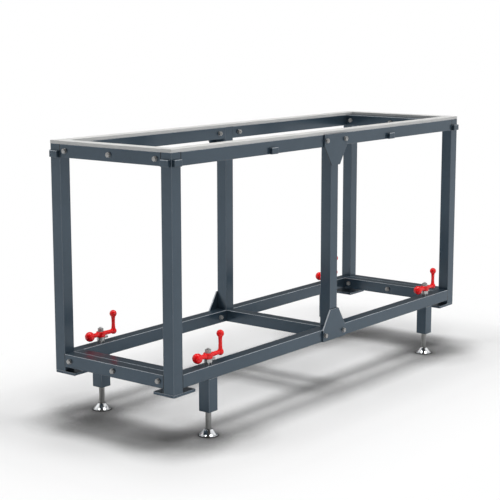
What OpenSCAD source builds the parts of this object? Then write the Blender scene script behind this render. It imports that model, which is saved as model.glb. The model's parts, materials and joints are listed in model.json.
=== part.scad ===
// Stone fabrication table: a bolted frame of square tube that stands on four screw jacks.
// The origin is on the floor under the middle of the frame, X runs along the table, Z is up.

/* [Table] */
// Length of the steel frame
table_len = 2000; // [1700:50:3000]
// Width of the steel frame
table_wid = 600; // [500:25:1000]
// Height of the strips' tops over the base plates' undersides
table_h = 890; // [600:10:1000]
// Gap from the low rails down to the base plates' undersides
rail_gap = 27; // [25:1:60]

/* [Tubes] */
// Outside size of the square tubes
tube = 50; // [48:1:60]
// Wall of the square tubes
tube_wall = 3; // [2:0.5:3.5]
// Outside corner radius of the square tubes
tube_round = 2; // [1:0.5:6]

/* [Strips] */
// Thickness of the hard strips on the top rails
strip_t = 12; // [6:1:20]
// Radius on the strips' long edges
strip_round = 1.5; // [0.5:0.5:2.5]

/* [Plates and lugs] */
// Length of a base plate, along the table
plate_len = 120; // [80:5:160]
// Width of a base plate, across the table
plate_wid = 100; // [70:5:140]
// Thickness of a base plate
plate_t = 10; // [6:1:15]
// Corner radius of a base plate
plate_round = 3; // [1:0.5:8]
// Width of a gusset plate along the rail
gusset_w = 160; // [156:2:220]
// Width of a gusset plate's tail on the mid post
gusset_tail = 58; // [30:2:64]
// Height of a gusset plate's straight part
gusset_straight = 47; // [40:1:60]
// Height of a gusset plate with its tail
gusset_h = 127; // [100:1:180]
// Thickness of a gusset plate
gusset_t = 6; // [4:1:10]
// Distance of a gusset bolt from the mid post's centre
gusset_bolt_x = 66; // [50:1:70]
// Width of a rail lug
lug_w = 38; // [30:1:50]
// Height of a rail lug
lug_h = 25; // [15:1:35]
// How far a rail lug stands out
lug_t = 12; // [8:1:20]
// Bevel round a rail lug's outer face
lug_bevel = 1.5; // [0.5:0.5:3]
// Place of the inner lugs, as a share of the way from the table's middle to its end
lug_share = 0.417; // [0.25:0.001:0.7]

/* [Bolts] */
// Thread size of the frame's bolts
bolt_d = 10; // [8:1:12]
// Width across flats of the bolt heads and nuts
bolt_af = 17; // [15:1:19]
// Height of a bolt head
bolt_head = 6.4; // [5:0.2:8]
// Height of a frame nut
nut_h = 8; // [6:0.5:10]
// Length of thread past the nut
bolt_end = 5; // [2:1:10]
// Outside size of a washer
washer_d = 20; // [19:1:24]
// Thickness of a washer
washer_t = 2; // [1:0.5:3]
// Distance of the outer end bolts from the frame's long faces
end_bolt_in = 75; // [70:1:120]

/* [Jacks] */
// Distance of a jack's axis from the end of the frame
jack_in = 220; // [165:5:320]
// How far a sleeve hangs below the base plates' undersides
sleeve_drop = 100; // [95:5:150]
// Length of ram that shows between sleeve and foot
ram_out = 70; // [65:1:100]
// How far the ram can still go down
ram_down = 32; // [20:1:40]
// Diameter of the ram
ram_d = 22; // [22:1:28]
// Bore of the ram round the screw
ram_bore = 17; // [16.8:0.1:17.4]
// Diameter of the lifting screw
screw_d = 16; // [14:0.5:16.4]
// Height of the nut in the top of the ram
ram_nut = 16; // [12:1:20]
// Height of the guide bush in the sleeve
bush_h = 20; // [15:1:22]

/* [Feet] */
// Largest diameter of a foot
foot_d = 72; // [60:1:90]
// Diameter of a foot's flat top
foot_top_d = 32; // [26:1:36]
// Height of a foot
foot_h = 25; // [23:1:32]
// Thickness of a foot's round rim
foot_rim = 5; // [3:0.5:6]
// Diameter of the ram's ball end
ball_d = 16; // [14:0.5:17]
// Height of the ball's centre over the floor
ball_z = 11; // [10:0.5:12]
// Diameter of the neck over the ball
neck_d = 9; // [7:0.5:9.5]
// Diameter of the foot's mouth round the neck
mouth_d = 13.6; // [13.2:0.1:13.9]

/* [Crank heads] */
// Diameter of a bearing head
head_d = 32; // [30:1:36]
// Height of a bearing head
head_h = 14; // [12:1:18]
// Height of the studs under a bearing head
stud_h = 8; // [6:1:12]
// Diameter of the studs under a bearing head
stud_d = 5.5; // [4:0.5:5.5]
// Distance of a stud from the jack's axis, along each rail direction
stud_xy = 8.2; // [8:0.1:8.6]
// Diameter of the spindle in the bearing head
journal_d = 15; // [13:0.5:15.5]
// Diameter of the thrust collar under the rail's top wall
collar_d = 30; // [24:1:36]
// Thickness of the thrust collar
collar_t = 8; // [5:1:12]
// Width across flats of the spindle's square
square_af = 12; // [12:0.5:12.5]
// Thread size of the spindle's end
stud_end_d = 12; // [10:0.5:12]
// Width across flats of the crank nut
crank_nut_af = 20; // [17:1:20]
// Height of the crank nut
crank_nut_h = 10.8; // [8:0.2:12]
// Length of the spindle past its nut
spindle_end = 4; // [2:1:8]

/* [Cranks] */
// Diameter of a crank's hub
hub_d = 36; // [30:1:40]
// Height of a crank's hub
hub_h = 21; // [19:1:26]
// Bevel on the hub's edges
hub_bevel = 2; // [1:0.5:3]
// Diameter of a crank's arm
arm_d = 18; // [12:1:18]
// Diameter of the counter ball
weight_d = 39; // [30:0.5:42]
// Distance of the counter ball from the spindle
weight_x = 60; // [56:1:80]
// Distance of the upright handle from the spindle
handle_x = 72; // [50:1:110]
// Diameter of the elbow under the handle
elbow_d = 26; // [20:1:28]
// Height of the handle's knob over the arm
knob_z = 70; // [60:1:110]
// Diameter of the handle's knob
knob_d = 29; // [22:0.5:32]
// Diameter of the handle's waist
waist_d = 14.2; // [9:0.2:16]
// Diameter of the handle where it runs into the elbow and the knob
handle_d = 20; // [18:0.5:20]
// Thread size of a lock screw
lock_d = 6; // [4:0.5:6]
// Diameter of a lock screw's knob
lock_knob_d = 9; // [8:0.5:10]
// Length of a lock screw's knob
lock_knob_len = 18; // [12:1:19]
// Length of bare thread between knob and bearing head
lock_neck = 4; // [2:1:6]
// Drop of a lock screw's axis below the bearing head's top
lock_drop = 5.5; // [5.2:0.1:7]

/* [Hidden] */
$fn = 64;
// Inside corner radius of the square tubes, and of what fits in them
bore_round = 1.5;
// Clearance round a bolt in its hole
hole_gap = 0.5;
// Radial clearance of a thread or a pressed seat
seat_gap = 0.05;
// Radial clearance of a shaft that turns or slides
run_gap = 0.05;
// Radial clearance of the ball in its socket
socket_gap = 0.1;
// Clearance of the ram's nut in the sleeve
slide_gap = 0.3;
// Gap that a lock screw's tip, or a crank's hub, keeps from its neighbour
tip_gap = 0.3;
// Gap above and below the ram's nut at the ends of its travel
travel_gap = 1.5;
// Gap between the ram's shoulder and the foot, which lets the foot tilt
tilt_gap = 1.5;
// Length of screw below the ram's nut when the ram is fully down
screw_past = 9.5;
// Length of the ball stud's plug in the ram
plug_len = 18;
// Depth of the ram's seat in its nut
ram_seat = 4;
// Depth of a stud's seat in the bearing head
stud_seat = 6;
// Thickness of the bronze thrust washer
thrust_t = 2;
// Diameter of the thrust washer
thrust_d = 28;
// Thickness of the washer on a crank's hub
hub_washer_t = 2.5;
// Diameter of the washer on a crank's hub
hub_washer_d = 24;
// Bevel on a bearing head's edges
head_bevel = 1;
// Bevel on a lock screw's knob
lock_bevel = 1;
// Overrun of a cut past the surface that it opens
over = 1;
// Share of a hexagon's flat width that stays flat on its bevelled end
hex_flat_share = 0.95;
// Slope of the bevel on a hexagon's end
hex_slope_share = 0.577;

base_z = foot_h + ram_out + sleeve_drop;
low_bot = base_z + rail_gap;
low_mid = low_bot + tube / 2;
low_top = low_bot + tube;
strip_top = base_z + table_h;
rail_top = strip_top - strip_t;
top_mid = rail_top - tube / 2;
rail_y = table_wid / 2 - tube / 2;
end_x = table_len / 2 - tube / 2;
span_y = table_wid - 2 * tube;
long_rail_len = table_len / 2 - tube - tube / 2;
end_bolt_y = table_wid / 2 - end_bolt_in;
end_bolt_ys = [-end_bolt_y, 0, end_bolt_y];
jack_x = table_len / 2 - jack_in;
lug_x = table_len / 2 * lug_share;

sleeve_len = sleeve_drop + rail_gap;
sleeve_bot = low_bot - sleeve_len;
tube_bore = tube - 2 * tube_wall;
ram_nut_z = sleeve_bot + bush_h + travel_gap + ram_down;
ram_bot = foot_h + tilt_gap;
screw_bot = ram_nut_z - ram_down - screw_past;
collar_top = low_top - tube_wall - thrust_t;
head_z = low_top + stud_h;
head_top = head_z + head_h;
hub_z = head_top + tip_gap;
hub_top = hub_z + hub_h;
arm_z = hub_z + hub_h / 2;
crank_nut_z = hub_top + hub_washer_t;
spindle_top = crank_nut_z + crank_nut_h + spindle_end;
lock_z = head_top - lock_drop;
// Handle's straight stretch between elbow and knob, and the arc that cuts its waist
handle_half = knob_z / 2;
waist_cut = (handle_d - waist_d) / 2;
waist_arc = (handle_half * handle_half + waist_cut * waist_cut) / (2 * waist_cut);

// Colours as RGB
coat = [0.30, 0.34, 0.38];
strip_white = [0.90, 0.90, 0.88];
zinc = [0.72, 0.73, 0.74];
steel = [0.60, 0.61, 0.62];
polished = [0.82, 0.83, 0.85];
bronze = [0.72, 0.55, 0.30];
crank_red = [0.86, 0.10, 0.12];

sides = [["front", -1], ["back", 1]];
ends = [["left", -1], ["right", 1]];
levels = [["top", top_mid], ["low", low_mid]];
posts = [["left", -1], ["mid", 0], ["right", 1]];
jacks = [for (s = sides, e = ends) [str(s[0], "_", e[0]), [e[1] * jack_x, s[1] * rail_y, 0]]];

// Square with round corners, centred
module rounded_square(width, height, corner) {
    square([width - 2 * corner, height], center = true);
    square([width, height - 2 * corner], center = true);
    for (x = [-1, 1], y = [-1, 1]) {
        translate([x * (width / 2 - corner), y * (height / 2 - corner)])
            circle(corner);
    }
}

// Square tube along Z, centred
module square_tube(length) {
    linear_extrude(length, center = true)
        difference() {
            rounded_square(tube, tube, tube_round);
            rounded_square(tube_bore, tube_bore, bore_round);
        }
}

module tube_along_x(length) {
    rotate([0, 90, 0]) square_tube(length);
}

module tube_along_y(length) {
    rotate([90, 0, 0]) square_tube(length);
}

// Cylinder along X, centred
module rod_x(d, length) {
    rotate([0, 90, 0]) cylinder(d = d, h = length, center = true);
}

// Cylinder along Y, centred
module rod_y(d, length) {
    rotate([90, 0, 0]) cylinder(d = d, h = length, center = true);
}

// Hexagon on the XY plane with its top corners bevelled
module hexagon(flats, height) {
    corner = flats / 2 / cos(30);
    flat = flats / 2 * hex_flat_share;
    intersection() {
        cylinder(r = corner, h = height, $fn = 6);
        rotate_extrude()
            polygon([[0, 0], [corner, 0], [corner, height - (corner - flat) * hex_slope_share], [flat, height],
                [0, height]]);
    }
}

module washer(inner, outer, thick) {
    difference() {
        cylinder(d = outer, h = thick);
        translate([0, 0, -over]) cylinder(d = inner, h = thick + 2 * over);
    }
}

// Bolt through the grip from Z = 0 downwards, with its head and washer above
module bolt(grip) {
    translate([0, 0, washer_t]) hexagon(bolt_af, bolt_head);
    below = grip + washer_t + nut_h + bolt_end;
    translate([0, 0, -below]) cylinder(d = bolt_d, h = below + washer_t);
}

// Nut under the grip, below the lower washer
module grip_nut(grip) {
    translate([0, 0, -grip - washer_t])
        mirror([0, 0, 1])
            difference() {
                hexagon(bolt_af, nut_h);
                translate([0, 0, -over]) cylinder(d = bolt_d + 2 * seat_gap, h = nut_h + 2 * over);
            }
}

module grip_washers(grip) {
    washer(bolt_d + 2 * hole_gap, washer_d, washer_t);
    translate([0, 0, -grip - washer_t]) washer(bolt_d + 2 * hole_gap, washer_d, washer_t);
}

// Places of the end bolts: heads on the end faces, shanks through end rail and cross beam
module at_end_bolts() {
    for (e = ends, l = levels, y = end_bolt_ys) {
        translate([e[1] * table_len / 2, y, l[1]])
            rotate([0, e[1] * 90, 0])
                children();
    }
}

// Places of the gusset bolts: heads on the gussets, shanks through gusset and rail
module at_gusset_bolts() {
    for (s = sides, e = ends, l = levels) {
        translate([e[1] * gusset_bolt_x, s[1] * (table_wid / 2 + gusset_t), l[1]])
            rotate([-s[1] * 90, 0, 0])
                children();
    }
}

module at_jacks() {
    for (j = jacks) {
        translate(j[1]) children();
    }
}

module post(x, y, bottom) {
    color(coat)
        translate([x, y, (rail_top + bottom) / 2])
            square_tube(rail_top - bottom);
}

module long_rail(side, end, level) {
    color(coat)
        difference() {
            translate([end * (tube / 2 + long_rail_len / 2), side * rail_y, level])
                tube_along_x(long_rail_len);
            translate([end * gusset_bolt_x, side * rail_y, level])
                rod_y(bolt_d + 2 * hole_gap, tube + 2 * over);
            if (level == low_mid) {
                translate([end * jack_x, side * rail_y, level])
                    cylinder(d = journal_d + 2 * hole_gap, h = tube / 2 + over);
                translate([end * jack_x, side * rail_y, level - tube / 2 - over])
                    cylinder(d = screw_d + 2 * hole_gap, h = tube / 2 + over);
            }
        }
}

// Tube across the table, drilled for the end bolts
module drilled_cross_tube(x, level) {
    color(coat)
        difference() {
            translate([x, 0, level]) tube_along_y(span_y);
            for (y = end_bolt_ys) {
                translate([x, y, level]) rod_x(bolt_d + 2 * hole_gap, tube + 2 * over);
            }
        }
}

module end_rail(end, level) {
    drilled_cross_tube(end * end_x, level);
}

module cross_beam(end, level) {
    drilled_cross_tube(end * (end_x - tube), level);
}

module mid_cross_tube() {
    color(coat) translate([0, 0, low_mid]) tube_along_y(span_y);
}

module side_strips() {
    for (s = sides) {
        color(strip_white)
            translate([0, s[1] * rail_y, rail_top + strip_t / 2])
                rotate([90, 0, 90])
                    linear_extrude(table_len, center = true)
                        rounded_square(tube, strip_t, strip_round);
    }
}

module end_strips() {
    for (e = ends) {
        color(strip_white)
            translate([e[1] * end_x, 0, rail_top + strip_t / 2])
                rotate([90, 0, 0])
                    linear_extrude(span_y, center = true)
                        rounded_square(tube, strip_t, strip_round);
    }
}

// Gusset outline, from the rail's outer edge at 0 to the end of the tail
module gusset_plates() {
    half = gusset_w / 2;
    tail = gusset_tail / 2;
    outline = [[-half, 0], [half, 0], [half, gusset_straight], [tail, gusset_h], [-tail, gusset_h],
        [-half, gusset_straight]];
    color(coat)
        for (s = sides, top = [true, false]) {
            translate([0, s[1] * (table_wid / 2 + gusset_t / 2), top ? rail_top : low_bot])
                rotate([top ? -90 : 90, 0, 0])
                    linear_extrude(gusset_t, center = true)
                        difference() {
                            polygon(outline);
                            for (x = [-gusset_bolt_x, gusset_bolt_x]) {
                                translate([x, tube / 2]) circle(d = bolt_d + 2 * hole_gap);
                            }
                        }
        }
}

module base_plates() {
    x = table_len / 2 - plate_len / 2;
    y = table_wid / 2 - plate_wid / 2;
    color(coat)
        for (s = sides, e = ends) {
            translate([e[1] * x, s[1] * y, base_z])
                linear_extrude(plate_t)
                    rounded_square(plate_len, plate_wid, plate_round);
        }
}

// Lug standing out along +X, its root on the YZ plane, its foot at Z = 0
module lug() {
    rotate([90, 0, 0])
        linear_extrude(lug_w, center = true)
            polygon([[0, 0], [lug_t - lug_bevel, 0], [lug_t, lug_bevel], [lug_t, lug_h - lug_bevel],
                [lug_t - lug_bevel, lug_h], [0, lug_h]]);
}

module rail_lugs() {
    z = rail_top - tube;
    color(coat) {
        for (s = sides, e = ends) {
            translate([e[1] * table_len / 2, s[1] * rail_y, z])
                rotate([0, 0, e[1] > 0 ? 0 : 180]) lug();
            for (x = [end_x, lug_x]) {
                translate([e[1] * x, s[1] * table_wid / 2, z])
                    rotate([0, 0, s[1] * 90]) lug();
            }
        }
    }
}

module end_bolts() {
    color(zinc) at_end_bolts() bolt(2 * tube);
}

module gusset_bolts() {
    color(zinc) at_gusset_bolts() bolt(gusset_t + tube);
}

module frame_nuts() {
    color(zinc) {
        at_end_bolts() grip_nut(2 * tube);
        at_gusset_bolts() grip_nut(gusset_t + tube);
    }
}

module frame_washers() {
    color(zinc) {
        at_end_bolts() grip_washers(2 * tube);
        at_gusset_bolts() grip_washers(gusset_t + tube);
    }
}

module jack_sleeves() {
    color(coat) at_jacks() translate([0, 0, (low_bot + sleeve_bot) / 2]) square_tube(sleeve_len);
}

// Guide bush in the sleeve's mouth, and thrust washer under the rail's top wall
module jack_bushes() {
    plug = tube_bore - 2 * seat_gap;
    color(bronze)
        at_jacks() {
            difference() {
                translate([0, 0, sleeve_bot])
                    linear_extrude(bush_h)
                        rounded_square(plug, plug, bore_round);
                translate([0, 0, sleeve_bot - over]) cylinder(d = ram_d + 2 * run_gap, h = bush_h + 2 * over);
            }
            translate([0, 0, collar_top]) washer(journal_d + 2 * run_gap, thrust_d, thrust_t);
        }
}

module at_head_studs() {
    for (x = [-stud_xy, stud_xy], y = [-stud_xy, stud_xy]) {
        translate([x, y, low_top]) children();
    }
}

module bearing_heads() {
    r = head_d / 2;
    color(steel)
        at_jacks()
            difference() {
                translate([0, 0, head_z])
                    rotate_extrude()
                        polygon([[0, 0], [r - head_bevel, 0], [r, head_bevel], [r, head_h - head_bevel],
                            [r - head_bevel, head_h], [0, head_h]]);
                translate([0, 0, head_z - over]) cylinder(d = journal_d + 2 * run_gap, h = head_h + 2 * over);
                translate([(r + over) / 2, 0, lock_z]) rod_x(lock_d + 2 * run_gap, r + over);
                at_head_studs() cylinder(d = stud_d + 2 * seat_gap, h = stud_h + stud_seat);
            }
}

module head_studs() {
    color(steel) at_jacks() at_head_studs() cylinder(d = stud_d, h = stud_h + stud_seat);
}

// Lifting screw, thrust collar, journal, square for the crank and threaded end, on one axis
module spindle() {
    color(steel) {
        translate([0, 0, screw_bot]) cylinder(d = screw_d, h = collar_top - collar_t - screw_bot);
        translate([0, 0, collar_top - collar_t]) cylinder(d = collar_d, h = collar_t);
        translate([0, 0, collar_top]) cylinder(d = journal_d, h = head_top - collar_top);
        intersection() {
            translate([0, 0, head_top]) cylinder(d = journal_d, h = hub_top - head_top);
            translate([0, 0, (head_top + hub_top) / 2])
                cube([square_af, square_af, hub_top - head_top], center = true);
        }
        translate([0, 0, hub_top]) cylinder(d = stud_end_d, h = spindle_top - hub_top);
    }
}

// Upright handle with a waist cut by one arc, from the elbow's centre to the knob's centre
module handle() {
    rotate_extrude()
        difference() {
            square([handle_d / 2, knob_z]);
            translate([waist_d / 2 + waist_arc, handle_half]) circle(waist_arc, $fn = 128);
        }
    sphere(d = elbow_d);
    translate([0, 0, knob_z]) sphere(d = knob_d);
}

// One casting: hub, arm, counter ball and upright handle
module crank() {
    r = hub_d / 2;
    bore = square_af + 2 * seat_gap;
    color(crank_red)
        difference() {
            union() {
                translate([0, 0, hub_z])
                    rotate_extrude()
                        polygon([[0, 0], [r - hub_bevel, 0], [r, hub_bevel], [r, hub_h - hub_bevel],
                            [r - hub_bevel, hub_h], [0, hub_h]]);
                translate([(handle_x - weight_x) / 2, 0, arm_z]) rod_x(arm_d, handle_x + weight_x);
                // Turned so that the ball's seam lies away from the arm
                translate([-weight_x, 0, arm_z]) rotate([0, 0, 180]) sphere(d = weight_d);
                translate([handle_x, 0, arm_z]) handle();
            }
            intersection() {
                translate([0, 0, hub_z - over]) cylinder(d = journal_d + 2 * seat_gap, h = hub_h + 2 * over);
                translate([0, 0, arm_z]) cube([bore, bore, hub_h + 2 * over], center = true);
            }
        }
}

module crank_nut() {
    color(zinc) {
        translate([0, 0, hub_top]) washer(stud_end_d + 2 * hole_gap, hub_washer_d, hub_washer_t);
        translate([0, 0, crank_nut_z])
            difference() {
                hexagon(crank_nut_af, crank_nut_h);
                translate([0, 0, -over]) cylinder(d = stud_end_d + 2 * seat_gap, h = crank_nut_h + 2 * over);
            }
    }
}

// Square nut that the sleeve keeps from turning, tubular ram, and ball stud in the ram's end
module ram() {
    nut_w = tube_bore - 2 * slide_gap;
    ram_top = ram_nut_z + ram_seat - seat_gap;
    color(bronze)
        difference() {
            translate([0, 0, ram_nut_z])
                linear_extrude(ram_nut)
                    rounded_square(nut_w, nut_w, bore_round);
            translate([0, 0, ram_nut_z]) cylinder(d = screw_d + 2 * run_gap, h = ram_nut + over);
            translate([0, 0, ram_nut_z - over]) cylinder(d = ram_d + 2 * seat_gap, h = ram_seat + over);
        }
    color(polished)
        difference() {
            translate([0, 0, ram_bot]) cylinder(d = ram_d, h = ram_top - ram_bot);
            translate([0, 0, ram_bot - over]) cylinder(d = ram_bore, h = ram_top - ram_bot + 2 * over);
        }
    color(steel) {
        translate([0, 0, ball_z]) sphere(d = ball_d);
        translate([0, 0, ball_z]) cylinder(d = neck_d, h = ram_bot - ball_z);
        translate([0, 0, ram_bot]) cylinder(d = ram_bore - 2 * seat_gap, h = plug_len);
    }
}

// Bell foot with a round rim, and a socket that holds the ram's ball
module foot() {
    r = foot_d / 2;
    color(polished)
        difference() {
            rotate_extrude()
                union() {
                    polygon([[0, 0], [r - foot_rim / 2, 0], [r - foot_rim / 2, foot_rim], [foot_top_d / 2, foot_h],
                        [0, foot_h]]);
                    translate([r - foot_rim / 2, foot_rim / 2]) circle(d = foot_rim);
                }
            translate([0, 0, ball_z]) sphere(d = ball_d + 2 * socket_gap);
            translate([0, 0, ball_z]) cylinder(d = mouth_d, h = foot_h - ball_z + over);
        }
}

// Small clamp screw that points at the spindle from the +X side
module lock_screw() {
    tip = journal_d / 2 + tip_gap;
    knob = head_d / 2 + lock_neck;
    r = lock_knob_d / 2;
    color(steel)
        translate([0, 0, lock_z])
            rotate([0, 90, 0]) {
                translate([0, 0, tip]) cylinder(d = lock_d, h = knob - tip);
                translate([0, 0, knob])
                    rotate_extrude()
                        polygon([[0, 0], [r - lock_bevel, 0], [r, lock_bevel], [r, lock_knob_len - lock_bevel],
                            [r - lock_bevel, lock_knob_len], [0, lock_knob_len]]);
            }
}

for (s = sides, p = posts) {
    foot_of_post = p[1] == 0 ? low_bot : base_z + plate_t;
    post(p[1] * end_x, s[1] * rail_y, foot_of_post);
}
for (s = sides, e = ends, l = levels) {
    long_rail(s[1], e[1], l[1]);
}
for (e = ends, l = levels) {
    end_rail(e[1], l[1]);
    cross_beam(e[1], l[1]);
}
mid_cross_tube();
side_strips();
end_strips();
gusset_plates();
base_plates();
rail_lugs();
end_bolts();
gusset_bolts();
frame_nuts();
frame_washers();
jack_sleeves();
jack_bushes();
bearing_heads();
head_studs();
for (j = jacks) {
    translate(j[1]) spindle();
    translate(j[1]) crank();
    translate(j[1]) crank_nut();
    translate(j[1]) ram();
    translate(j[1]) foot();
    translate(j[1]) lock_screw();
}
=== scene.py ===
"""Looks for the stone fabrication table: camera, light, materials and the finer pieces."""
import json
import math

import bpy
import numpy as np
from mathutils import Matrix, Vector


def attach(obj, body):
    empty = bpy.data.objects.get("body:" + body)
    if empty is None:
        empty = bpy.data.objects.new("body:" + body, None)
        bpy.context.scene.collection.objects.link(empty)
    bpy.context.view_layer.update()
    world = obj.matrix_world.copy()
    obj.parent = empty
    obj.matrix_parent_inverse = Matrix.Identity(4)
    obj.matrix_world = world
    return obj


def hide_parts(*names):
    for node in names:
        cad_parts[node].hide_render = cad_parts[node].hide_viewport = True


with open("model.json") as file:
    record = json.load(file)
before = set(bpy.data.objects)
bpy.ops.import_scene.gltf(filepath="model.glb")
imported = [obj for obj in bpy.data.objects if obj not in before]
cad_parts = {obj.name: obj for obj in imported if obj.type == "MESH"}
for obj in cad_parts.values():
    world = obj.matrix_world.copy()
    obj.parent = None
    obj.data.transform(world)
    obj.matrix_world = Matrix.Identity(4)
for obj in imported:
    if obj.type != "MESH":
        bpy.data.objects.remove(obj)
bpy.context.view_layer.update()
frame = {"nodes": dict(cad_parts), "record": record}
nodes = frame["nodes"]
scene = bpy.context.scene
scene.view_settings.view_transform = "Standard"

MM = 0.001
QUARTER = math.pi / 2

# Sizes of the frame, as in the part's source: half its length and width, its tubes, and the
# heights of the rails' middles
END_X, SIDE_Y, TUBE = 1.0, 0.3, 0.05
LOW_RAIL_Z, TOP_RAIL_Z = 0.247, 1.048
# Places of its bolts, and what they hold together: two tubes, or a tube and a gusset plate
END_BOLTS_Y = (-0.225, 0.0, 0.225)
GUSSET_BOLT_X, GUSSET_T = 0.066, 0.006
END_GRIP, GUSSET_GRIP = 2 * TUBE, TUBE + GUSSET_T
# A bolt with its nut and washers; BOLT_END is the length that looks out of the nut
BOLT_D, BOLT_AF, BOLT_HEAD, BOLT_END, BOLT_PITCH = 10 * MM, 17 * MM, 6.4 * MM, 5 * MM, 1.5 * MM
NUT_H, WASHER_T, WASHER_D, WASHER_HOLE = 8 * MM, 2 * MM, 20 * MM, 11 * MM
# Places of the jacks' axes
JACK_X, JACK_Y = 0.78, 0.275
JACKS = {"front_left": (-JACK_X, -JACK_Y), "front_right": (JACK_X, -JACK_Y),
         "back_left": (-JACK_X, JACK_Y), "back_right": (JACK_X, JACK_Y)}
# Heights on a jack's axis
HEAD_TOP, HUB_Z, HUB_TOP, ARM_Z = 0.294, 0.2943, 0.3153, 0.3048
NUT_Z, SPINDLE_TOP, LOCK_Z = 0.3178, 0.3326, 0.2885
# A crank: place of its counter ball and of its handle, and the handle's height
WEIGHT_X, HANDLE_X, HANDLE_H = -0.06, 0.072, 0.07


def add(name, data):
    obj = bpy.data.objects.new(name, data)
    scene.collection.objects.link(obj)
    return obj


def aim(obj, direction):
    obj.rotation_euler = Vector(direction).to_track_quat("-Z", "Y").to_euler()


# Camera: the photograph's place, direction, lens and framing
camera = add("camera", bpy.data.cameras.new("camera"))
scene.camera = camera
camera.location = (-4.40734, -3.30904, 1.5279)
aim(camera, (0.78065, 0.60258, -0.16579))
camera.data.sensor_width = 36
camera.data.lens = 94.91
camera.data.shift_x = -0.0164
camera.data.shift_y = -0.0182
camera.data.clip_end = 200


def rgb(red, green, blue):
    """A colour given as screen values from 0 to 255, as the shader wants it."""
    def linear(v):
        v /= 255
        return v / 12.92 if v <= 0.04045 else ((v + 0.055) / 1.055) ** 2.4
    return (linear(red), linear(green), linear(blue), 1.0)


def grey(value):
    """A grey of the given reflectance."""
    return (value, value, value, 1)


class Shader:
    """Builds the nodes of a material or of the world."""

    def __init__(self, owner, output="ShaderNodeOutputMaterial", place="Object"):
        self.owner = owner
        owner.use_nodes = True
        self.tree = owner.node_tree
        self.tree.nodes.clear()
        self.output = self.node(output)
        self.place = self.node("ShaderNodeTexCoord").outputs[place]

    def node(self, kind, **settings):
        n = self.tree.nodes.new(kind)
        for key, value in settings.items():
            setattr(n, key, value)
        return n

    def feed(self, socket, value):
        if isinstance(value, bpy.types.NodeSocket):
            self.tree.links.new(value, socket)
        else:
            socket.default_value = value

    def split(self, vector):
        n = self.node("ShaderNodeSeparateXYZ")
        self.feed(n.inputs[0], vector)
        return n.outputs

    def up(self):
        """How far the surface faces up, from -1 to 1."""
        return self.split(self.node("ShaderNodeNewGeometry").outputs["Normal"])[2]

    def math(self, operation, *values):
        n = self.node("ShaderNodeMath", operation=operation)
        for socket, value in zip(n.inputs, values):
            self.feed(socket, value)
        return n.outputs[0]

    def times(self, *values):
        product, *rest = values
        for value in rest:
            product = self.math("MULTIPLY", product, value)
        return product

    def larger(self, first, second):
        return self.math("MAXIMUM", first, second)

    def range(self, value, low, high, to_low=0.0, to_high=1.0):
        n = self.node("ShaderNodeMapRange")
        for socket, v in zip(n.inputs, (value, low, high, to_low, to_high)):
            self.feed(socket, v)
        return n.outputs[0]

    def mix(self, share, first, second):
        n = self.node("ShaderNodeMix", data_type="RGBA")
        self.feed(n.inputs[0], share)
        self.feed(n.inputs[6], first)
        self.feed(n.inputs[7], second)
        return n.outputs[2]

    def mix_shaders(self, share, first, second):
        n = self.node("ShaderNodeMixShader")
        for socket, value in zip(n.inputs, (share, first.outputs[0], second.outputs[0])):
            self.feed(socket, value)
        self.feed(self.output.inputs["Surface"], n.outputs[0])

    def noise(self, scale, detail=3.0, rough=0.55, stretch=None):
        place = self.place
        if stretch:
            mapping = self.node("ShaderNodeMapping")
            self.feed(mapping.inputs["Vector"], place)
            mapping.inputs["Scale"].default_value = stretch
            place = mapping.outputs[0]
        n = self.node("ShaderNodeTexNoise")
        self.feed(n.inputs["Vector"], place)
        n.inputs["Scale"].default_value = scale
        n.inputs["Detail"].default_value = detail
        n.inputs["Roughness"].default_value = rough
        return n.outputs[0]

    def cells(self, scale):
        n = self.node("ShaderNodeTexVoronoi")
        self.feed(n.inputs["Vector"], self.place)
        n.inputs["Scale"].default_value = scale
        return n.outputs["Distance"]

    def bump(self, height, distance, strength, normal=None):
        n = self.node("ShaderNodeBump")
        self.feed(n.inputs["Height"], height)
        n.inputs["Distance"].default_value = distance
        n.inputs["Strength"].default_value = strength
        if normal:
            self.feed(n.inputs["Normal"], normal)
        return n.outputs[0]

    def soft_edge(self, radius):
        """Normal with its sharp edges rounded, and a mask of those edges."""
        n = self.node("ShaderNodeBevel", samples=4)
        n.inputs["Radius"].default_value = radius
        dot = self.node("ShaderNodeVectorMath", operation="DOT_PRODUCT")
        self.feed(dot.inputs[0], n.outputs[0])
        self.feed(dot.inputs[1], self.node("ShaderNodeNewGeometry").outputs["Normal"])
        return n.outputs[0], self.range(dot.outputs["Value"], 0.995, 0.86)

    def skew(self, normal):
        """Mask of faces that turn away from all three axes, and how far they face up."""
        x, y, z = self.split(normal)
        sizes = [self.math("ABSOLUTE", v) for v in (x, y, z)]
        most = self.larger(sizes[2], self.larger(sizes[0], sizes[1]))
        return self.range(most, 0.995, 0.9), z

    def near(self, value, target, full, faded):
        """Mask of the places where a value's size is close to a target."""
        size = self.math("ABSOLUTE", value)
        gap = self.math("ABSOLUTE", self.math("SUBTRACT", size, target))
        return self.range(gap, full, faded, 1.0, 0.0)

    def surface(self, **inputs):
        n = self.node("ShaderNodeBsdfPrincipled")
        for key, value in inputs.items():
            self.feed(n.inputs[key.replace("_", " ")], value)
        self.feed(self.output.inputs["Surface"], n.outputs[0])
        return self.owner


def material(name):
    return Shader(bpy.data.materials.new(name))


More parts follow.
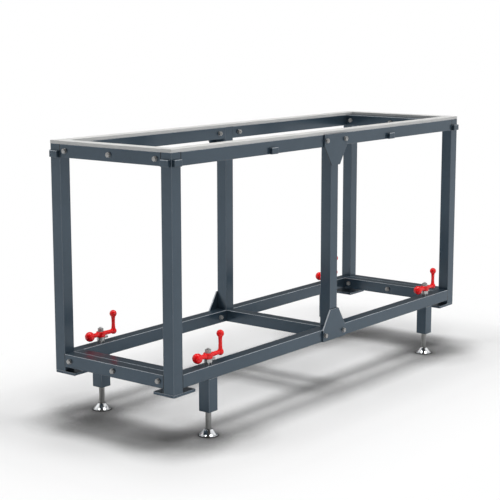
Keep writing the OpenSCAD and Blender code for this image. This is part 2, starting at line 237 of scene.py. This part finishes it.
def seams(s):
    """Mask of the joints where the rails meet the corner posts, flush with their outer faces."""
    x, y, z = s.split(s.place)
    across, on_face, half_tube = (1.3 * MM, 3 * MM), (1 * MM, 1.5 * MM), (24 * MM, 26 * MM)
    front = s.times(s.near(x, END_X - TUBE, *across), s.near(y, SIDE_Y, *on_face))
    end = s.times(s.near(y, SIDE_Y - TUBE, *across), s.near(x, END_X, *on_face))
    level = s.larger(s.near(z, LOW_RAIL_Z, *half_tube), s.near(z, TOP_RAIL_Z, *half_tube))
    return s.times(s.larger(front, end), level)


def coat_material():
    """Blue-grey powder coat: orange peel, soft patches, dust on top, worn edges that also carry a
    painted highlight, painted shade on the lower edges and in the joints.
    """
    s = material("coat")
    rounded, edge = s.soft_edge(2.6 * MM)
    patches = s.range(s.noise(5, 4), 0.3, 0.7)
    base = s.mix(patches, rgb(53, 69, 82), rgb(60, 76, 89))
    mottle = s.range(s.noise(380, 4, 0.7), 0.48, 0.7, 0.0, 0.35)
    base = s.mix(mottle, base, rgb(72, 87, 99))
    dust = s.times(s.range(s.up(), 0.6, 1.0), s.range(s.noise(34, 6, 0.7), 0.42, 0.75, 0.0, 0.06))
    base = s.mix(dust, base, rgb(140, 142, 140))
    corner, rise = s.skew(rounded)
    edge = s.larger(edge, corner)
    # Edges lighten as wear and as a painted highlight: upper edges most, upright ones a little, lower
    # ones not at all
    upright = s.range(rise, -0.3, 0.0, 0.0, 0.16)
    edge_wear_and_highlight = s.times(edge, s.range(rise, 0.1, 0.5, upright, 1.0))
    wear_and_painted_highlight = s.times(edge_wear_and_highlight, s.range(s.noise(60, 5, 0.7), 0.35, 0.7, 0.6, 0.95))
    base = s.mix(wear_and_painted_highlight, base, rgb(204, 211, 217))
    # Lower edges painted darker: painted shade along the undersides
    base = s.mix(s.times(edge, s.range(rise, -0.2, -0.5)), base, rgb(58, 66, 73))
    scuffs = s.range(s.noise(260, 5, 0.6, stretch=(1.0, 1.0, 0.12)), 0.62, 0.8, 0.0, 0.22)
    base = s.mix(scuffs, base, rgb(110, 120, 128))
    # The joints of rails and posts are painted darker, a little unevenly: painted shade in their grooves
    joint_shade = s.times(seams(s), s.range(s.noise(90, 4), 0.3, 0.6, 0.6, 0.95))
    base = s.mix(joint_shade, base, rgb(16, 20, 24))
    rough = s.range(s.noise(70, 5), 0.3, 0.7, 0.3, 0.38)
    peel = s.bump(s.noise(700, 2), 0.0003, 0.5, rounded)
    bumpy = s.bump(s.noise(14, 3), 0.0004, 0.3, peel)
    return s.surface(
        Base_Color=base, Metallic=s.math("SUBTRACT", 0.56, s.times(wear_and_painted_highlight, 0.6)),
        Roughness=s.math("ADD", rough, s.times(dust, 1.2)), Normal=bumpy,
        Specular_Tint=rgb(170, 190, 205), Specular_IOR_Level=0.35, Coat_Weight=0.65,
        Coat_Roughness=0.06, Coat_Normal=bumpy)


def strip_material():
    """Off-white hard rubber: fine grain, grey rubbed marks, sides greyed as painted shade."""
    s = material("strip")
    rounded, edge = s.soft_edge(0.8 * MM)
    base = s.mix(s.range(s.noise(9, 5), 0.3, 0.7), rgb(214, 214, 212), rgb(223, 223, 221))
    marks = s.range(s.noise(30, 7, 0.72, stretch=(0.25, 1.0, 1.0)), 0.54, 0.8, 0.0, 0.5)
    base = s.mix(marks, base, rgb(186, 186, 184))
    specks = s.range(s.cells(420), 0.0, 0.22, 0.3, 0.0)
    base = s.mix(specks, base, rgb(176, 176, 174))
    # Sides greyer than the top: painted shade
    side = s.range(s.math("ABSOLUTE", s.up()), 0.3, 0.85, 0.75, 0.0)
    base = s.mix(side, base, rgb(184, 185, 185))
    base = s.mix(s.times(edge, 0.4), base, rgb(200, 200, 199))
    rough = s.range(s.noise(55, 4), 0.3, 0.7, 0.48, 0.62)
    grain = s.bump(s.noise(1200, 3, 0.6), 0.0002, 0.7, rounded)
    return s.surface(Base_Color=base, Roughness=rough, Normal=grain)


def zinc_material():
    """Bright zinc plate: faint spangle, duller in patches, brighter on its edges."""
    s = material("zinc")
    rounded, edge = s.soft_edge(0.35 * MM)
    base = s.mix(s.range(s.cells(260), 0.0, 0.8), rgb(154, 154, 153), rgb(170, 170, 169))
    dull = s.range(s.noise(120, 5, 0.65), 0.5, 0.75, 0.0, 0.5)
    base = s.mix(dull, base, rgb(132, 130, 126))
    base = s.mix(s.times(edge, 0.5), base, rgb(198, 198, 196))
    rough = s.range(s.noise(190, 4), 0.3, 0.7, 0.3, 0.42)
    bumpy = s.bump(s.noise(700, 3), 0.00005, 0.5, rounded)
    return s.surface(Base_Color=base, Metallic=0.8, Roughness=rough, Normal=bumpy)


def steel_material(name, pale, dark, low, high, lines):
    """Turned or ground steel: rings from the tool, small stains and brighter edges."""
    s = material(name)
    rounded, edge = s.soft_edge(0.4 * MM)
    tooled = s.noise(1.0, 2, 0.5, stretch=(60.0, 60.0, lines))
    base = s.mix(s.range(tooled, 0.3, 0.7), pale, dark)
    stain = s.range(s.noise(95, 6, 0.7), 0.54, 0.8, 0.0, 0.5)
    base = s.mix(stain, base, rgb(122, 119, 113))
    base = s.mix(s.times(edge, 0.6), base, rgb(226, 227, 228))
    rough = s.math("ADD", s.range(s.noise(150, 4), 0.3, 0.7, low, high), s.times(tooled, 0.06))
    return s.surface(Base_Color=base, Metallic=0.85, Roughness=rough,
                     Normal=s.bump(tooled, 0.00003, 0.6, rounded))


def chrome_material():
    """Polished hard chrome: faint turning rings, smears and tiny pits."""
    s = material("polished")
    tooled = s.noise(1.0, 1, 0.5, stretch=(20.0, 20.0, 5000.0))
    smear = s.range(s.noise(45, 6, 0.7), 0.45, 0.75)
    base = s.mix(smear, rgb(232, 234, 236), rgb(216, 218, 221))
    pits = s.range(s.cells(900), 0.0, 0.1, 0.35, 0.0)
    base = s.mix(pits, base, rgb(140, 140, 138))
    rough = s.range(smear, 0.0, 1.0, 0.07, 0.17)
    return s.surface(Base_Color=base, Metallic=1.0, Roughness=rough,
                     Normal=s.bump(tooled, 0.00001, 0.4))


def bronze_material():
    """Turned bronze with brown tarnish."""
    s = material("bronze")
    tooled = s.noise(1.0, 2, 0.5, stretch=(60.0, 60.0, 4000.0))
    tarnish = s.range(s.noise(80, 6, 0.7), 0.35, 0.7)
    base = s.mix(tarnish, rgb(196, 150, 88), rgb(132, 92, 52))
    rough = s.range(tooled, 0.3, 0.7, 0.28, 0.42)
    return s.surface(Base_Color=base, Metallic=1.0, Roughness=rough,
                     Normal=s.bump(tooled, 0.00003, 0.5))


def enamel_material():
    """Gloss red enamel over a casting: soft lumps and rubbed paler spots."""
    s = material("enamel")
    base = s.mix(s.range(s.noise(40, 4), 0.3, 0.7), rgb(236, 10, 16), rgb(242, 16, 22))
    rubbed = s.range(s.noise(150, 6, 0.7), 0.62, 0.78, 0.0, 0.3)
    base = s.mix(rubbed, base, rgb(250, 66, 62))
    rough = s.math("ADD", s.range(s.noise(120, 4), 0.3, 0.7, 0.2, 0.3), s.times(rubbed, 0.4))
    lumps = s.bump(s.noise(260, 3), 0.0005, 0.35, s.bump(s.noise(1600, 2), 0.00005, 0.5))
    return s.surface(Base_Color=base, Roughness=rough, Normal=lumps, Specular_IOR_Level=0.3,
                     Coat_Weight=0.2, Coat_Roughness=0.12)


ZINC = zinc_material()
STEEL = steel_material("steel", rgb(202, 202, 201), rgb(172, 173, 172), 0.2, 0.32, 9000.0)
GROUND = steel_material("ground", rgb(158, 159, 158), rgb(138, 139, 138), 0.3, 0.42, 6000.0)
CHROME = chrome_material()
ENAMEL = enamel_material()
SLOTS = {"coat": coat_material(), "strip": strip_material(), "zinc": ZINC, "steel": STEEL,
         "polished": CHROME, "bronze": bronze_material(), "crank": ENAMEL}

for part in frame["record"]["subparts"]:
    # The rams are duller than the feet, which share their slot
    looks = GROUND if part["node"].endswith("_ram") else SLOTS[part["material_slot"]]
    for slot in nodes[part["node"]].material_slots:
        slot.material = looks


def show(name, mesh, body, node, at=(0, 0, 0)):
    """A piece that rides on a body and stands for a CAD node."""
    obj = add(name, mesh)
    obj.location = at
    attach(obj, body)
    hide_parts(node)


def mesh_from(name, points, faces):
    mesh = bpy.data.meshes.new(name)
    mesh.from_pydata([tuple(p) for p in points], [], [tuple(f) for f in faces])
    return mesh


def mesh_of(name, shape, look):
    """Mesh of a (points, faces) pair, smooth but for its edges over 35 degrees."""
    mesh = mesh_from(name, *shape)
    mesh.shade_smooth()
    mesh.set_sharp_from_angle(angle=math.radians(35))
    mesh.materials.append(look)
    return mesh


def in_mm(*outline):
    """An outline given in millimetres, in metres; a function of the angle stays as it is."""
    return [(radius if callable(radius) else radius * MM, height * MM) for radius, height in outline]


def rings(outline, steps):
    """A closed turned body: outline gives (radius, height), each a number or a function of the angle."""
    points, faces = [], []
    for radius, height in outline:
        for i in range(steps):
            a = 2 * math.pi * i / steps
            r = radius(a) if callable(radius) else radius
            z = height(a) if callable(height) else height
            points.append((r * math.cos(a), r * math.sin(a), z))
    for low in range(0, (len(outline) - 1) * steps, steps):
        high = low + steps
        for i in range(steps):
            j = (i + 1) % steps
            faces.append((low + i, low + j, high + j, high + i))
    faces.append(tuple(range(steps))[::-1])
    faces.append(tuple(range(high, high + steps)))
    return np.array(points), faces


def join(shapes):
    """Several (points, faces) pairs as one."""
    points, faces, start = [], [], 0
    for p, f in shapes:
        points.append(p)
        faces += [[i + start for i in face] for face in f]
        start += len(p)
    return np.vstack(points), faces


def moved(shape, matrix):
    points, faces = shape
    turned = np.array(matrix.to_3x3()) @ points.T
    return turned.T + np.array(matrix.translation), faces


def lifted(shape, height):
    return moved(shape, Matrix.Translation((0, 0, height)))


def along_x(shape, height):
    """A shape turned about Z, laid along X at a height."""
    return moved(shape, Matrix.Translation((0, 0, height)) @ Matrix.Rotation(QUARTER, 4, "Y"))


def ball(radius, x, z):
    steps, pole = 24, 0.02 * MM
    outline = []
    for k in range(steps + 1):
        a = math.pi * k / steps
        outline.append((max(radius * math.sin(a), pole), -radius * math.cos(a)))
    return moved(rings(outline, 48), Matrix.Translation((x, 0, z)))


def hex_body(flats, height, both=False):
    """Hexagon with the curved bevel of a real bolt head, or on both ends as on a nut."""
    inner = flats / 2
    flat = inner * 0.95
    slope = 0.577

    def corner(a):
        return inner / math.cos((a % (math.pi / 3)) - math.pi / 6)

    def drop(a):
        return (corner(a) - flat) * slope

    lower = [(flat, 0.0), (corner, drop)] if both else [(corner, 0.0)]
    return rings(lower + [(corner, lambda a: height - drop(a)), (flat, height)], 60)


def washer_body(inner, outer, thick):
    """Flat washer with bevelled rims, closed round its hole."""
    e, steps = 0.25 * MM, 48
    outline = [(inner / 2, 0), (outer / 2 - e, 0), (outer / 2, e), (outer / 2, thick - e),
               (outer / 2 - e, thick), (inner / 2, thick)]
    points, faces = rings(outline, steps)
    last = (len(outline) - 1) * steps
    hole = [(last + i, last + (i + 1) % steps, (i + 1) % steps, i) for i in range(steps)]
    return points, faces[:-2] + hole


def thread_body(diameter, pitch, low, high, low_open, high_open):
    """Screw thread as one closed body, cut down to a point at its open ends."""
    steps, per_turn = 32, 8
    depth, fade = 0.61 * pitch, 0.8 * pitch
    count = max(2, int(round((high - low) / pitch * per_turn)))
    outline = []
    for k in range(count + 1):
        z = low + (high - low) * k / count
        lead = 1.0
        if low_open:
            lead = min(lead, (z - low) / fade)
        if high_open:
            lead = min(lead, (high - z) / fade)

        def radius(a, z=z, lead=lead):
            wave = abs((((z / pitch) - a / (2 * math.pi)) % 1.0) * 2 - 1)
            return min(diameter / 2 - depth * wave, diameter / 2 - (1 - lead) * depth)
        outline.append((radius, z))
    return rings(outline, steps)


def cast(shapes, voxel, soften):
    """Fuses overlapping shapes into one casting with small fillets."""
    pattern = add("casting", mesh_from("casting", *join(shapes)))
    remesh = pattern.modifiers.new("remesh", "REMESH")
    remesh.mode = "VOXEL"
    remesh.voxel_size = voxel
    smooth = pattern.modifiers.new("smooth", "SMOOTH")
    smooth.iterations = soften
    view = bpy.context.evaluated_depsgraph_get()
    made = bpy.data.meshes.new_from_object(pattern.evaluated_get(view))
    bpy.data.objects.remove(pattern)
    made.shade_smooth()
    return made


def crank_mesh():
    """Ball crank: hub, tapered arm, counter ball, elbow and upright handle with a waist."""
    r, bevel = 18 * MM, 2 * MM
    hub = rings([(r - bevel, HUB_Z), (r, HUB_Z + bevel), (r, HUB_TOP - bevel), (r - bevel, HUB_TOP)], 64)
    arm = along_x(rings(in_mm((8.4, -56), (9.2, -20), (9.4, 0), (9.2, 20), (8.2, 45), (8.8, 70)), 40),
                  ARM_Z)
    steps, end_r, waist = 24, 10 * MM, 2.9 * MM
    outline = []
    for k in range(steps + 1):
        t = k / steps
        outline.append((end_r - waist * (1 - (2 * t - 1) ** 2), ARM_Z + HANDLE_H * t))
    handle = moved(rings(outline, 40), Matrix.Translation((HANDLE_X, 0, 0)))
    weight = ball(19.5 * MM, WEIGHT_X, ARM_Z)
    elbow = ball(13 * MM, HANDLE_X, ARM_Z)
    knob = ball(14.5 * MM, HANDLE_X, ARM_Z + HANDLE_H)
    mesh = cast([hub, arm, handle, weight, elbow, knob], 0.8 * MM, 7)
    mesh.materials.append(ENAMEL)
    return mesh


def spindle_shape():
    """Lifting screw, collar, journal, the end that the hub hides, and the thread for the nut."""
    e, tip, overlap, pitch = 0.5 * MM, 1 * MM, 1 * MM, 1.75 * MM
    screw_z, collar_z, collar_top = 0.107, 0.259, 0.267
    screw_r, collar_r, journal_r, end_r = 8 * MM, 15 * MM, 7.5 * MM, 6 * MM
    turned = rings([(screw_r - tip, screw_z), (screw_r, screw_z + tip), (screw_r, collar_z),
                    (collar_r - e, collar_z), (collar_r, collar_z + e), (collar_r, collar_top - e),
                    (collar_r - e, collar_top), (journal_r, collar_top), (journal_r, HEAD_TOP),
                    (end_r, HEAD_TOP), (end_r, HUB_TOP)], 48)
    thread = thread_body(2 * end_r, pitch, HUB_TOP - overlap, SPINDLE_TOP, False, True)
    return join([turned, thread])


def crank_nut_shape():
    """Washer on the hub, and the nut on it."""
    hole, washer_d, washer_t, flats, height = 12.6 * MM, 24 * MM, 2.5 * MM, 20 * MM, 10.8 * MM
    washer = lifted(washer_body(hole, washer_d, washer_t), HUB_TOP)
    return join([washer, lifted(hex_body(flats, height, True), NUT_Z)])


def foot_shape():
    """Bell foot: rounded rim, hollow flank, mouth and ball socket."""
    rim_x, rim_r, top_x, top_z, top_bevel, mouth_r = 33.5, 2.5, 16, 25, 0.4, 6.8
    outline = []
    for a in range(0, 181, 20):
        turn = math.radians(a)
        outline.append((rim_x + rim_r * math.sin(turn), rim_r - rim_r * math.cos(turn)))
    # The flank runs from the rim to the top, and is hollowed square to its slope
    steps, depth, square_x, square_z = 17, 1.2, 0.752, 0.658
    for k in range(1, steps):
        t = k / steps
        hollow = 4 * depth * t * (1 - t)
        outline.append((rim_x - (rim_x - top_x) * t - square_x * hollow,
                        2 * rim_r + (top_z - 2 * rim_r) * t - square_z * hollow))
    outline += [(top_x, top_z - top_bevel), (top_x - top_bevel, top_z), (mouth_r, top_z)]
    # The socket runs from the mouth, at this angle over its middle, down to its pole
    socket_r, socket_z, pole, mouth_angle, steps = 8.1, 11, 0.02, 32.9, 19
    for k in range(steps + 1):
        a = math.radians(mouth_angle - (mouth_angle + 90) * k / steps)
        outline.append((max(socket_r * math.cos(a), pole), socket_z + socket_r * math.sin(a)))
    return rings(in_mm(*outline), 96)


def lock_shape():
    """Clamp screw: thread, and a knob with a straight knurl and smooth ends."""
    ridges, middle_r, ridge = 30, 4.28 * MM, 0.22 * MM

    def ridged(a):
        return middle_r + ridge * math.cos(ridges * a)

    knob = rings(in_mm((3.2, 20), (4.2, 20.6), (4.2, 22.5), (ridged, 23.2), (ridged, 36.2), (4.2, 36.8),
                       (4.2, 37.5), (3.7, 38)), 6 * ridges)
    thread = thread_body(6 * MM, 1 * MM, 7.8 * MM, 20.5 * MM, True, False)
    return along_x(join([thread, knob]), LOCK_Z)


crank = crank_mesh()
spindle = mesh_of("spindle", spindle_shape(), STEEL)
nut = mesh_of("nut", crank_nut_shape(), ZINC)
lock = mesh_of("lock", lock_shape(), STEEL)
foot = mesh_of("foot", foot_shape(), CHROME)
for jack, (x, y) in JACKS.items():
    for ending, mesh, body, node, slot in (
            ("_cast_crank", crank, "_crank_body", "_crank", "crank"),
            ("_turned_spindle", spindle, "_crank_body", "_spindle", "steel"),
            ("_hex_nut", nut, "_crank_body", "_crank_nut", "zinc"),
            ("_knurled_screw", lock, "_lock_body", "_lock_screw", "steel"),
            ("_bell_foot", foot, "_foot_body", "_foot", "polished")):
        show(jack + ending, mesh, jack + body, jack + node, (x, y, 0))

# Bolts of the frame: heads outside, nuts and thread ends inside, each turned by chance
chance = np.random.default_rng(7)
sites = []
for end in (-1, 1):
    for level in (LOW_RAIL_Z, TOP_RAIL_Z):
        for y in END_BOLTS_Y:
            outward = Matrix.Rotation(end * QUARTER, 4, "Y")
            sites.append((Matrix.Translation((end * END_X, y, level)) @ outward, END_GRIP, "end_bolts"))
for side in (-1, 1):
    for end in (-1, 1):
        for level in (LOW_RAIL_Z, TOP_RAIL_Z):
            face = Matrix.Translation((end * GUSSET_BOLT_X, side * (SIDE_Y + GUSSET_T), level))
            outward = Matrix.Rotation(-side * QUARTER, 4, "X")
            sites.append((face @ outward, GUSSET_GRIP, "gusset_bolts"))
bolts, nuts, washers = {"end_bolts": [], "gusset_bolts": []}, [], []
for where, grip, kind in sites:
    spin = Matrix.Rotation(chance.uniform(0, math.pi / 3), 4, "Z")
    head = lifted(hex_body(BOLT_AF, BOLT_HEAD), WASHER_T)
    # The shank reaches into the head and into the thread, where the nut hides its end
    shank = rings([(BOLT_D / 2, -grip - 4 * MM), (BOLT_D / 2, WASHER_T + 1 * MM)], 32)
    nut_z = -grip - WASHER_T - NUT_H
    end = thread_body(BOLT_D, BOLT_PITCH, nut_z - BOLT_END, -grip - 3.5 * MM, True, False)
    bolts[kind].append(moved(join([head, shank, end]), where @ spin))
    spin = Matrix.Rotation(chance.uniform(0, math.pi / 3), 4, "Z")
    inside = Matrix.Translation((0, 0, nut_z))
    nuts.append(moved(hex_body(BOLT_AF, NUT_H, True), where @ inside @ spin))
    for z in (0.0, -grip - WASHER_T):
        washer = washer_body(WASHER_HOLE, WASHER_D, WASHER_T)
        washers.append(moved(washer, where @ Matrix.Translation((0, 0, z))))
for name, ending, shapes in (("end_bolts", "_hex", bolts["end_bolts"]),
                             ("gusset_bolts", "_hex", bolts["gusset_bolts"]),
                             ("frame_nuts", "_hex", nuts), ("frame_washers", "_flat", washers)):
    show(name + ending, mesh_of(name, join(shapes), ZINC), "frame_body", name)


def backdrop_floor():
    """Pale studio floor: white to the camera and to gloss where nothing shades it, with painted shade
    near the table.
    """
    s = material("floor")
    path = s.node("ShaderNodeLightPath").outputs
    seen = s.larger(path["Is Camera Ray"], s.larger(path["Is Glossy Ray"], path["Is Transmission Ray"]))
    x, y, _ = s.split(s.place)
    # Distance from the table's own outline
    x = s.larger(s.math("SUBTRACT", s.math("ABSOLUTE", x), END_X), 0.0)
    y = s.larger(s.math("SUBTRACT", s.math("ABSOLUTE", y), SIDE_Y), 0.0)
    away = s.math("SQRT", s.math("ADD", s.times(x, x), s.times(y, y)))
    shade = 1.0
    # A wide soft shade under the frame, and a tight one round the feet
    for reach, power in ((0.8, 0.25), (0.27, 6.0)):
        near = s.node("ShaderNodeAmbientOcclusion", samples=16)
        near.inputs["Distance"].default_value = reach
        shade = s.times(s.math("POWER", near.outputs["AO"], power), shade)
    # Floor painted darker near the table and paler away from it: painted shade
    floor_shade_colour = s.mix(s.range(away, 0.1, 0.8), grey(0.8), grey(0.87))
    pale = s.mix(shade, grey(0.0), floor_shade_colour)
    cloth = s.node("ShaderNodeBsdfDiffuse")
    s.feed(cloth.inputs["Color"], s.mix(seen, grey(0.72), pale))
    white = s.node("ShaderNodeEmission")
    s.mix_shaders(s.times(seen, s.range(away, 0.45, 0.95)), cloth, white)
    far = 80.0
    corners = [(-far, -far, 0), (far, -far, 0), (far, far, 0), (-far, far, 0)]
    mesh = mesh_from("floor", corners, [(0, 1, 2, 3)])
    mesh.materials.append(s.owner)
    add("floor", mesh)


def studio_world():
    """White behind the object; as light, a tall soft panel on either side of the camera.

    Gloss shows the white background through both panels, with dark flags between them.
    """
    scene.world = bpy.data.worlds.new("studio")
    s = Shader(scene.world, "ShaderNodeOutputWorld", "Generated")
    x, y, z = s.split(s.place)
    # Toward: 1 in the level direction of the photograph's camera, -1 behind. Right: to its right
    front_x, front_y = -0.791, -0.612
    flat = s.math("SQRT", s.math("ADD", s.times(x, x), s.times(y, y)))
    toward = s.math("DIVIDE", s.math("ADD", s.times(x, front_x), s.times(y, front_y)), flat)
    right = s.math("ADD", s.times(x, -front_y), s.times(y, front_x))
    # The panel on the right comes further round to the front than the one on the left
    left_end, right_end, soft = 0.2, 0.45, 0.27
    start = s.range(right, -0.1, 0.1, left_end, right_end)
    wide = s.times(s.range(toward, s.math("ADD", start, soft), start), s.range(toward, -0.86, -0.62))
    # Both fade out at the foot and at the top, and their upper part is dimmer
    tall = s.times(s.range(z, 0.02, 0.2), s.range(z, 0.92, 0.82), s.range(z, 0.66, 0.5, 0.55, 1.0))
    panels = s.times(wide, tall)
    light = s.math("ADD", s.times(panels, s.range(right, -0.1, 0.1, 0.8, 0.9)),
                   s.range(toward, -0.5, -0.9, 0.05, 0.14))
    path = s.node("ShaderNodeLightPath").outputs
    seen = s.larger(s.larger(path["Is Camera Ray"], path["Is Transmission Ray"]),
                    s.times(path["Is Glossy Ray"], panels))
    room, white = s.node("ShaderNodeBackground"), s.node("ShaderNodeBackground")
    for background in (room, white):
        background.inputs["Color"].default_value = grey(1)
    s.feed(room.inputs["Strength"], light)
    s.mix_shaders(seen, room, white)


backdrop_floor()
studio_world()

# Four ceiling lights, as far away as the sun; each rail casts two soft shadows side by side.
# The two that shine from the front are stronger, and the front left one leaves no highlight
SLANTS, FROM_FRONT, FROM_BACK = (0.28, -0.18), 0.8, 0.6
for x in SLANTS:
    for y in SLANTS:
        ceiling = add("ceiling", bpy.data.lights.new("ceiling", "SUN"))
        ceiling.data.energy = FROM_FRONT if y > 0 else FROM_BACK
        ceiling.data.angle = math.radians(18)
        ceiling.visible_glossy = x < 0 or y < 0
        aim(ceiling, (x, y, -1))
# A wide soft light from the front, for the faces that the ceiling leaves dark
fill = add("front", bpy.data.lights.new("front", "AREA"))
fill.data.shape = "RECTANGLE"
fill.data.size = 2.2
fill.data.size_y = 1.4
fill.data.energy = 34
fill.location = (-1.6, -5.2, 2.6)
aim(fill, Vector((0, 0, 0.7)) - fill.location)

bpy.context.view_layer.update()
